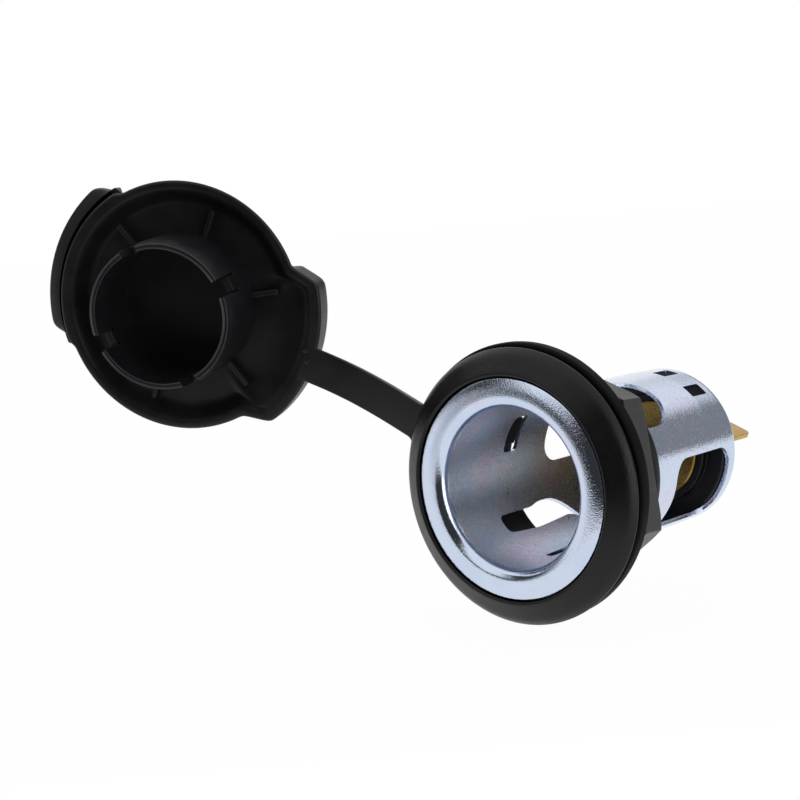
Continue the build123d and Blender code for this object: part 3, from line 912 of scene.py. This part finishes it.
collar_r = 10.5
collar_bore_r = 9.47
collar_ease = 0.3
collar_ease_from = 6.6
collar_ease_over = 1.8
collar_groove = 0.3
finger_half = 7
finger_edge = 5.9
finger_middle = 1.9
finger_root = 2.4
finger_tip = 4.4
finger_inset = 0.985
collar_steps = []
for quarter in range(4):
    middle = 45 + 90 * quarter
    step = (45 - finger_half) / 16
    collar_steps += [middle - 45 + step * k for k in range(16)]
    for off in (finger_half, finger_edge, finger_middle):
        collar_steps += [middle - off, middle + off]
    collar_steps += [middle + finger_half + step * k for k in range(1, 16)]
collar_angles = [radians(value) for value in sorted(set(round(v, 3) for v in collar_steps))]
collar_levels = [-3.0, -1.5, 0.0, 1.2, finger_root, 3.4, finger_tip, collar_ease_from, 8.37]


def arc_cells(bm, angles, levels, solid, wall, groove):
    """Walls of a ring made of cells: angles and levels are the cells' edges, and solid says which are filled.

    wall gives the outer and the inner radius at a level, and a groove of a depth runs along the top."""
    def corner(i, j, side):
        key = (i % len(angles), j, side)
        if key not in made:
            r = sum(wall(levels[j])) / 2 if side == 2 else wall(levels[j])[side]
            h = levels[j] - (groove if side == 2 else 0)
            made[key] = bm.verts.new((r * cos(angles[key[0]]), r * sin(angles[key[0]]), h))
        return made[key]

    def top(i, j):
        sides = (0, 2, 1) if j == len(levels) - 1 else (0, 1)
        return [corner(i, j, side) for side in sides]

    def filled(i, j):
        return 0 <= j < len(levels) - 1 and solid(i % len(angles), j)

    made = {}
    for i in range(len(angles)):
        for j in range(len(levels) - 1):
            if not filled(i, j):
                continue
            bm.faces.new([corner(i, j, 0), corner(i + 1, j, 0), corner(i + 1, j + 1, 0), corner(i, j + 1, 0)])
            bm.faces.new([corner(i, j, 1), corner(i, j + 1, 1), corner(i + 1, j + 1, 1), corner(i + 1, j, 1)])
            if not filled(i, j + 1):
                here, on = top(i, j + 1), top(i + 1, j + 1)
                for corners in zip(here, on, on[1:], here[1:]):
                    bm.faces.new(corners)
            if not filled(i, j - 1):
                bm.faces.new([corner(i, j, 1), corner(i + 1, j, 1), corner(i + 1, j, 0), corner(i, j, 0)])
            if not filled(i + 1, j):
                bm.faces.new([corner(i + 1, j, 0), corner(i + 1, j, 1)] + top(i + 1, j + 1)[::-1])
            if not filled(i - 1, j):
                bm.faces.new([corner(i, j, 1), corner(i, j, 0)] + top(i, j + 1))


def collar_wall(level):
    """Outer and inner radius of the collar at a height over the rim."""
    return collar_r - collar_ease * max(level - collar_ease_from, 0) / collar_ease_over, collar_bore_r


def collar_filled(i, j):
    """Whether a cell of the collar is there: slits beside four fingers, and the fingers stop short."""
    start, end = np.degrees([collar_angles[i], collar_angles[(i + 1) % len(collar_angles)]])
    middle = start + 0.5 * ((end - start) % 360)
    off = abs((middle % 90) - 45)
    if off > finger_half:
        return True
    if collar_levels[j] >= finger_root and off > finger_edge:
        return False
    return collar_levels[j] < finger_tip


bm = bmesh.new()
arc_cells(bm, collar_angles, collar_levels, collar_filled, collar_wall, collar_groove)
for corner in bm.verts:
    off = abs(np.degrees(np.arctan2(corner.co.y, corner.co.x)) % 90 - 45)
    if off < finger_edge + 0.3 and corner.co.z > finger_root + 0.1:
        corner.co *= Vector((finger_inset, finger_inset, 1))
bmesh.ops.recalc_face_normals(bm, faces=bm.faces)
bm.transform(opened)
collar = piece("cap_collar", bm, cap_black)
soften(collar, 0.12, 40, segments=3)
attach(collar, "cap")

gusset_count = 6
gusset_angle = 30
gusset_place = (12.3, 0, -1.9)
gusset_size = (4.6, 0.7, 2.2)
bm = bmesh.new()
rib = Matrix.Translation(gusset_place) @ Matrix.Diagonal((*gusset_size, 1))
bmesh.ops.create_cube(bm, size=1, matrix=Matrix.Rotation(radians(gusset_angle), 4, "Z") @ rib)
gussets = piece("cap_gussets", bm, cap_black)
grown(gussets, copies_round, Count=gusset_count, Axis=(0, 0, 1), Material=cap_black)
gussets.data.transform(opened)
soften(gussets, 0.16, 40, segments=3)
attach(gussets, "cap")

dot_places = ((19.33, 3.4), (20.05, -0.6))
dot_dome = [(0.42, -0.2), (0.42, 0.0), (0.38, 0.09), (0.28, 0.15), (0.14, 0.18)]
dot_top = 0.19
bm = bmesh.new()
turns = [radians(20 * k) for k in range(18)]
for dot_r, dot_angle in dot_places:
    middle = Vector((dot_r * cos(radians(dot_angle)), dot_r * sin(radians(dot_angle)), 0))
    rings = [[middle + Vector((r * cos(turn), r * sin(turn), h)) for turn in turns] for r, h in dot_dome]
    rows = skin(bm, rings + [[middle + Vector((0, 0, dot_top))]])
    bm.faces.new(rows[0])
bmesh.ops.recalc_face_normals(bm, faces=bm.faces)
bm.transform(opened)
dots = piece("cap_dots", bm, cap_black)
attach(dots, "cap")


# Fixing nut: a hexagon nut moulded from black plastic with a satin surface, run up the sleeve's
# thread from behind. Its rear corners are turned off. It leans a little on the loose thread, and its
# front is kept square, so that it can run up to the ring.
nut_front, nut_rear = 2.05, 6.5
nut_lean = 3.0
nut_lean_y = 4.3
nut_flat_r = 15.0
nut_bore_r = 13.3
nut_corner = 37.9
nut_chamfer_r = 16.42
nut_angles = [nut_corner + k for k in range(360)]
nut_outline = [nut_flat_r / cos(radians((a - nut_corner) % 60 - 30)) for a in nut_angles]


def nut_ring(section):
    """Ring of the nut. section gives a (radius, y) point from the hexagon's radius at each angle."""
    points = [section(r) for r in nut_outline]
    return [at(r, a, y) for a, (r, y) in zip(nut_angles, points)]


bm = bmesh.new()
skin(bm, [
    nut_ring(lambda r: (nut_bore_r, nut_rear - 0.5)),
    nut_ring(lambda r: (nut_bore_r, nut_front + 0.3)),
    nut_ring(lambda r: (nut_bore_r + 0.3, nut_front)),
    nut_ring(lambda r: (r - 0.6, nut_front)),
    nut_ring(lambda r: (r, nut_front)),
    nut_ring(lambda r: (r, nut_rear - 0.5 * max(r - nut_chamfer_r, 0.0))),
    nut_ring(lambda r: (min(r - 0.15, nut_chamfer_r), nut_rear)),
    nut_ring(lambda r: (nut_bore_r + 0.9, nut_rear)),
    nut_ring(lambda r: (nut_bore_r + 0.5, nut_rear)),
], joined=True)
leaning = Matrix.Rotation(radians(-nut_lean), 3, "X")
bmesh.ops.rotate(bm, verts=bm.verts, cent=(0, nut_lean_y * 0.001, 0), matrix=leaning)
for vert in bm.verts:
    vert.co.y = max(vert.co.y, nut_front * 0.001)
bmesh.ops.recalc_face_normals(bm, faces=bm.faces)
nut_black = moulded_black("nut_black", (0.022, 0.022, 0.024), 0.40, 3.5, 0.14)
nut = piece("fixing_nut_skin", bm, nut_black, sharp=25)
soften(nut, 0.14, 28, segments=3)
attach(nut, "nut")
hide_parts("fixing_nut")


# Studio: a white table that ends just in front of the picture, a room with a bright ceiling over darker
# walls, and the camera. The room is drawn on the world by bearing and height, and shows only in
# reflections: the camera sees white.
camera_place = Vector((0.1469, -0.2003, 0.0378))
camera_way = Vector((-0.6397, 0.7619, -0.1016))
camera_top = Vector((0, 0.1322, 0.9912))
table_way = Vector((-0.643, 0.766, 0))
table_right = Vector((0.766, 0.643, 0))
table_from = 0.195
table_half = 2.0
table_depth = 4.0
table_z = -0.0195


def pale_floor():
    """White floor, which shows as white to the camera and in reflections and keeps a faint shadow."""
    made = bpy.data.materials.new("pale_floor")
    made.use_nodes = True
    tree = made.node_tree
    tree.nodes.clear()
    rays = add(tree, "ShaderNodeLightPath").outputs
    seen = reckon(tree, "MAXIMUM", rays["Is Camera Ray"], rays["Is Glossy Ray"])
    seen = reckon(tree, "MAXIMUM", seen, rays["Is Transmission Ray"])
    share = reckon(tree, "MULTIPLY", seen, 0.97)
    matt = add(tree, "ShaderNodeBsdfDiffuse", Color=(0.92, 0.92, 0.92, 1))
    white = add(tree, "ShaderNodeEmission", Color=(1, 1, 1, 1), Strength=1.0)
    mixed = add(tree, "ShaderNodeMixShader", Fac=share)
    tree.links.new(matt.outputs[0], mixed.inputs[1])
    tree.links.new(white.outputs[0], mixed.inputs[2])
    add(tree, "ShaderNodeOutputMaterial", Surface=mixed.outputs[0])
    return made


bm = bmesh.new()
table_edge = camera_place + table_way * table_from
table_edge.z = table_z
corners = [(-table_half, 0), (table_half, 0), (table_half, table_depth), (-table_half, table_depth)]
bm.faces.new([bm.verts.new(table_edge + table_right * x + table_way * y) for x, y in corners])
floor = piece("floor", bm, pale_floor())

world = bpy.data.worlds.new("studio")
bpy.context.scene.world = world
world.use_nodes = True
tree = world.node_tree
tree.nodes.clear()
way = add(tree, "ShaderNodeTexCoord").outputs["Generated"]
axes = add(tree, "ShaderNodeSeparateXYZ", Vector=way).outputs
bearing = reckon(tree, "ARCTAN2", axes["Y"], axes["X"])
turned = add(tree, "ShaderNodeMapRange", Value=bearing, From_Min=-pi, From_Max=pi).outputs["Result"]


def walls(*stops):
    """Brightness of the room round the object, from (bearing in degrees, brightness) stops."""
    return ramp(tree, turned, *[(degrees / 360 + 0.5, (level,)) for degrees, level in stops])


def above(lower, upper, edge, soft):
    """Lower walls that give way to upper ones at an edge, from (bearing, height over the horizon) stops."""
    height = walls(*[(degrees, sin(radians(lift))) for degrees, lift in edge])
    over = reckon(tree, "SUBTRACT", axes["Z"], height)
    return mingled(tree, between(tree, over, -soft, soft, 0.0, 1.0), lower, upper)


sides = [
    (-33, 0.05), (-29, 2.2), (2, 2.2), (12, 0.3), (103, 0.28), (117, 1.0), (150, 1.0), (165, 0.34),
    (180, 0.34)]
skirting = walls(
    (-180, 0.7), (-165, 0.7), (-158, 1.0), (-146, 1.0), (-141, 0.65), (-134, 0.5), (-129, 0.25), (-124, 0.08),
    (-110, 0.04), *sides)
panels = walls((-180, 0.34), (-152, 0.34), (-144, 0.06), (-128, 0.05), (-110, 0.04), *sides)
ceiling = walls((-180, 1.0), (180, 1.0))
level = above(skirting, panels, [(-180, 9), (180, 9)], 0.024)
level = above(level, ceiling, [
    (-180, 26), (-151, 26), (-145, 44), (-130, 44), (-121, 8), (-114, 4), (-99, 19), (-79, 35), (-60, 46),
    (-30, 48), (-15, 27), (180, 27)], 0.025)
room = add(tree, "ShaderNodeBackground", Color=level, Strength=1.0)
white = add(tree, "ShaderNodeBackground", Color=(1, 1, 1, 1), Strength=1.0)
seen = add(tree, "ShaderNodeLightPath").outputs["Is Camera Ray"]
mixed = add(tree, "ShaderNodeMixShader", Fac=seen)
tree.links.new(room.outputs[0], mixed.inputs[1])
tree.links.new(white.outputs[0], mixed.inputs[2])
add(tree, "ShaderNodeOutputWorld", Surface=mixed.outputs[0])

lens = bpy.data.cameras.new("camera")
lens.lens = 85.47
lens.sensor_width = 36.0
lens.clip_start = 0.01
camera = bpy.data.objects.new("camera", lens)
bpy.context.scene.collection.objects.link(camera)
forward = camera_way.normalized()
right = forward.cross(camera_top).normalized()
upward = right.cross(forward)
turn = Matrix((right, upward, -forward)).transposed().to_4x4()
camera.matrix_world = Matrix.Translation(camera_place) @ turn
bpy.context.scene.camera = camera
bpy.context.scene.view_settings.view_transform = "Standard"
